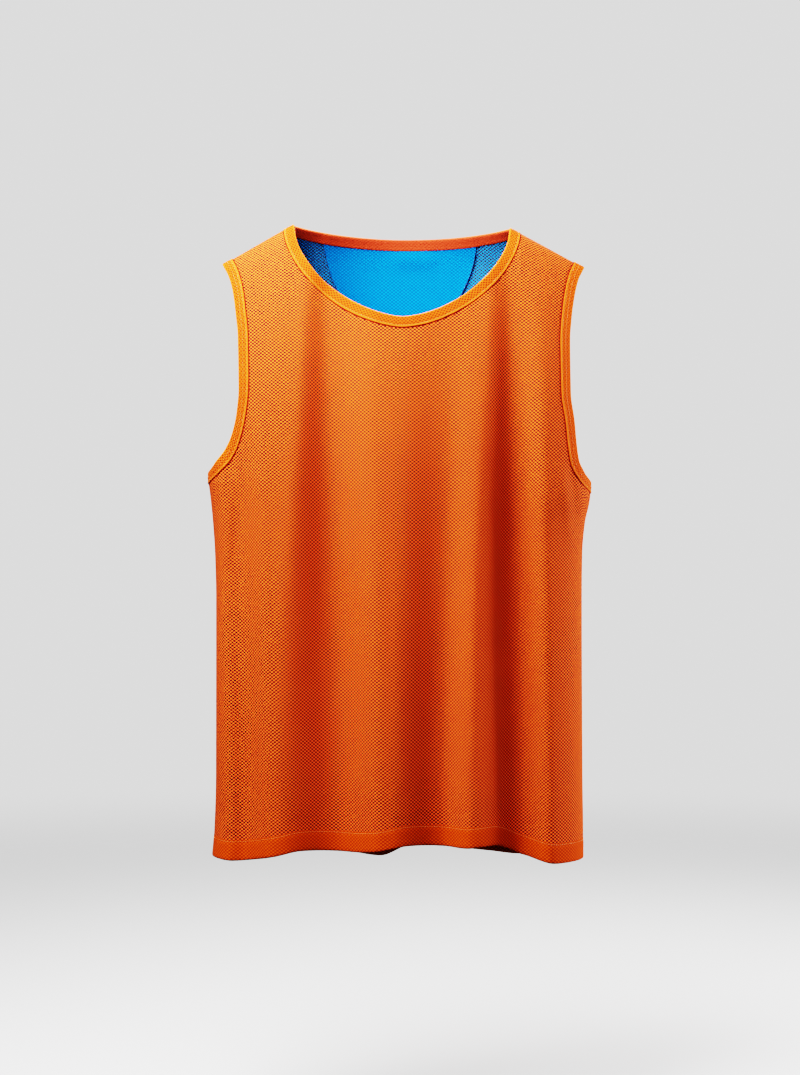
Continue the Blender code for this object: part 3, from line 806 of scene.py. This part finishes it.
def patch_sheet():
    """The half moon inside the back neck, on rows that follow its rounded edge."""
    turn = np.linspace(-math.pi / 2, math.pi / 2, PATCH_COLUMNS)
    half = np.sin(turn) * PATCH_HALF_WIDTH * PATCH_KEPT
    down = np.linspace(1.0, 0.0, PATCH_ROWS)
    across = 2 * (half - RIGHT.neck_x) / (LEFT.neck_x - RIGHT.neck_x) - 1
    top = ridge_z(half) - BACK_NECK_DROP * (1 - np.abs(across) ** NECK_CURVE) ** (1 / NECK_CURVE)
    depth = PATCH_DEPTH * (1 - np.abs(half / PATCH_HALF_WIDTH) ** NECK_CURVE) ** (1 / NECK_CURVE)
    z = top[None] - depth[None] * down[:, None]
    x = np.broadcast_to(half, z.shape)
    step = SLOPE_STEP
    slope_x = (surface_y(x + step, z, BACK) - surface_y(x - step, z, BACK)) / (2 * step)
    slope_z = (surface_y(x, z + step, BACK) - surface_y(x, z - step, BACK)) / (2 * step)
    out = unit(np.stack((-slope_x, np.ones_like(x), -slope_z), axis=-1))
    grid = np.stack((x, surface_y(x, z, BACK), z), axis=-1)
    place = np.stack((arc((z.ravel(), x.ravel()), 0.0, False, BACK),
                      arc((x.ravel(), z.ravel()), KNIT_LEVEL, True, BACK)), axis=-1)
    return grid, out, place.reshape(x.shape + (2,))


patch, out, place = patch_sheet()
full = smoothstep(np.linalg.norm(patch - patch[:1], axis=2) / PATCH_EDGE_REACH)
patch_in = PATCH_OUT - PATCH_EDGE_THICK - (PATCH_THICK - PATCH_EDGE_THICK) * full
sheet_of("neck_half_moon", patch, out, place, PATCH_OUT, patch_in, BACK,
                           blue_patch, ["back_neck_patch"])
stitched = slice(PATCH_BARE_ENDS, -PATCH_BARE_ENDS)
line = patch[1] + (patch[3] - patch[1]) * 0.5 + out[2] * (PATCH_IN - PATCH_STITCH_LIFT)
patch_row = (line[stitched], -out[2][stitched], False)

neck = slice(SHOULDER_COLUMNS, SHOULDER_COLUMNS + NECK_COLUMNS + 1)
seam = seam_loop(grids["front"][0][-1, neck], grids["back"][0][-1, neck])
normal = unit(seam_loop(grids["front"][1][-1, neck], grids["back"][1][-1, neck]))
inside = (PATCH_HALF_WIDTH + OVER_PATCH_REACH - np.abs(seam[:, 0])) / OVER_PATCH_FADE
over_patch = smoothstep(inside) * (seam[:, 1] > 0.0)
tape("neck_tape", seam, normal, TAPE_DEPTH + TAPE_OVER_PATCH * over_patch,
                      ["neck_binding"], orange_tape)


def tape_row(seam, normals, out_by, height):
    """Path of a stitch row on a binding."""
    normals, outs = loop_frame(seam, normals)
    return seam + outs * out_by + normals * height, normals, True


for title, column in (("right", 0), ("left", -1)):
    low = HEM_ROWS + BODY_ROWS
    arm = seam_loop(grids["front"][0][low:, column], grids["back"][0][low:, column])
    arm_out = unit(seam_loop(grids["front"][1][low:, column], grids["back"][1][low:, column]))
    arm_out[np.linalg.norm(arm - arm[0], axis=1) < TIP_REACH, 2] = 0.0
    tape("armhole_tape_" + title, arm, arm_out,
                                      np.full(len(arm), TAPE_DEPTH),
                                      ["armhole_binding_" + title], orange_tape)
    rows = [tape_row(arm, arm_out, *LOW_STITCHES), tape_row(arm, arm_out, *HIGH_STITCHES)]
    stitches("armhole_stitches_" + title, rows, orange_thread)
neck_row = tape_row(seam, normal, *LOW_STITCHES)
stitches("neck_stitches", [neck_row], orange_thread)
for title, row in hem_rows.items():
    stitches("hem_stitches_" + title, [row], orange_thread)
stitches("half_moon_stitches", [patch_row], blue_thread,
                                  PATCH_STITCH_PITCH, PATCH_THREAD_RADIUS)


for title in ("front", "back"):
    grid = grids[title][0]

# ---- stage --------------------------------------------------------------------------------------
VIEW_HEIGHT = -0.3515
VIEW_DISTANCE = 2.6
VIEW_HALF_HEIGHT = 0.6066    # half of the picture's height at the bib
SENSOR = 36.0
FLOOR_Z = -1.0
FLOOR_RADIUS = 4.0
FLOOR_SIDES = 96
FLOOR_PALE = 0.56
FLOOR_SPECK = 0.51
FLOOR_FADE = (1.1, 3.6)      # from the middle, where the floor starts to fade and is gone
PALE = 0.82                  # the ground behind, as the camera sees it
WORLD_LIGHT = 0.02
LIGHT_AIM = (0.0, 0.0, -0.36)
LIGHT_SIZE = 0.7
# Azimuth from the camera's side towards the wearer's left, elevation, distance and watts.
STUDIO_LIGHTS = (
    (-40, 60, 1.3, 63.2), (-50, 35, 1.6, 14.0), (-75, 35, 1.6, 3.0), (-25, 35, 1.6, 9.4),
    (0, 5, 1.7, 3.0), (100, 5, 1.7, 51.5), (80, 5, 1.7, 7.6), (165, 40, 2.2, 56.0),
    (0, -30, 1.7, 1.6),
)


def grey(value):
    return rgb(value, value, value)


def pale_floor():
    """A round speckled floor that fades into the ground behind."""
    mesh = bpy.data.meshes.new("studio_floor")
    points = [(0.0, 0.0, FLOOR_Z)]
    for i in range(FLOOR_SIDES):
        turn = i * 2 * math.pi / FLOOR_SIDES
        points.append((FLOOR_RADIUS * math.cos(turn), FLOOR_RADIUS * math.sin(turn), FLOOR_Z))
    faces = [(0, i + 1, (i + 1) % FLOOR_SIDES + 1) for i in range(FLOOR_SIDES)]
    mesh.from_pydata(points, [], faces)
    n = Nodes("studio_floor", roughness=0.9, sheen=0.0, sheen_tint=grey(1.0), specular=0.1)
    spot = n.add("ShaderNodeNewGeometry").outputs["Position"]
    distance = n.add("ShaderNodeVectorMath", operation="LENGTH")
    n.tree.links.new(spot, distance.inputs[0])
    speckle = n.noise(spot, 300.0)
    n.colour(n.blend(n.math("MULTIPLY", speckle, 0.5), grey(FLOOR_PALE), grey(FLOOR_SPECK)))
    clear = n.add("ShaderNodeBsdfTransparent").outputs[0]
    fade = n.add("ShaderNodeMixShader")
    n.feed(fade.inputs[0], n.ramp(distance.outputs["Value"], *FLOOR_FADE))
    n.tree.links.new(n.shader.outputs[0], fade.inputs[1])
    n.tree.links.new(clear, fade.inputs[2])
    n.tree.links.new(fade.outputs[0], n.tree.nodes["Material Output"].inputs["Surface"])
    mesh.materials.append(n.material)
    floor = bpy.data.objects.new("studio_floor", mesh)
    floor.visible_diffuse = False
    floor.visible_glossy = False
    floor.visible_shadow = False
    bpy.context.scene.collection.objects.link(floor)


def studio_world():
    """Pale to look at, and dim as a light."""
    world = bpy.data.worlds.new("studio")
    bpy.context.scene.world = world
    world.use_nodes = True
    tree = world.node_tree
    ground = tree.nodes["Background"]
    ground.inputs["Color"].default_value = rgb(0.92, 0.95, 1.0)
    ground.inputs["Strength"].default_value = WORLD_LIGHT
    seen = tree.nodes.new("ShaderNodeBackground")
    seen.inputs["Color"].default_value = grey(1.0)
    seen.inputs["Strength"].default_value = PALE
    path = tree.nodes.new("ShaderNodeLightPath")
    both = tree.nodes.new("ShaderNodeMixShader")
    tree.links.new(path.outputs["Is Camera Ray"], both.inputs[0])
    tree.links.new(ground.outputs[0], both.inputs[1])
    tree.links.new(seen.outputs[0], both.inputs[2])
    tree.links.new(both.outputs[0], tree.nodes["World Output"].inputs["Surface"])


def studio_lights():
    """Square soft lights round the middle of the bib, all aimed at it."""
    middle = Vector(LIGHT_AIM)
    for i, (azimuth, elevation, distance, watts) in enumerate(STUDIO_LIGHTS):
        turn, rise = math.radians(azimuth), math.radians(elevation)
        level = math.cos(rise)
        away = Vector((math.sin(turn) * level, -math.cos(turn) * level, math.sin(rise)))
        light = bpy.data.lights.new("light_" + str(i), "AREA")
        light.shape = "SQUARE"
        light.size = LIGHT_SIZE
        light.energy = watts
        lamp = bpy.data.objects.new("light_" + str(i), light)
        lamp.visible_camera = False
        lamp.location = middle + away * distance
        lamp.rotation_mode = "QUATERNION"
        lamp.rotation_quaternion = (-away).to_track_quat("-Z", "Y")
        bpy.context.scene.collection.objects.link(lamp)


pale_floor()
studio_world()
studio_lights()

camera_data = bpy.data.cameras.new("camera")
camera_data.sensor_width = SENSOR
camera_data.lens = SENSOR / 2 * VIEW_DISTANCE / VIEW_HALF_HEIGHT
camera = bpy.data.objects.new("camera", camera_data)
camera.location = (0.0, -VIEW_DISTANCE, VIEW_HEIGHT)
camera.rotation_euler = (math.pi / 2, 0.0, 0.0)
bpy.context.scene.collection.objects.link(camera)
bpy.context.scene.camera = camera

view = bpy.context.scene.view_settings
view.view_transform = "Filmic"
view.look = "Very High Contrast"
view.exposure = 0.0
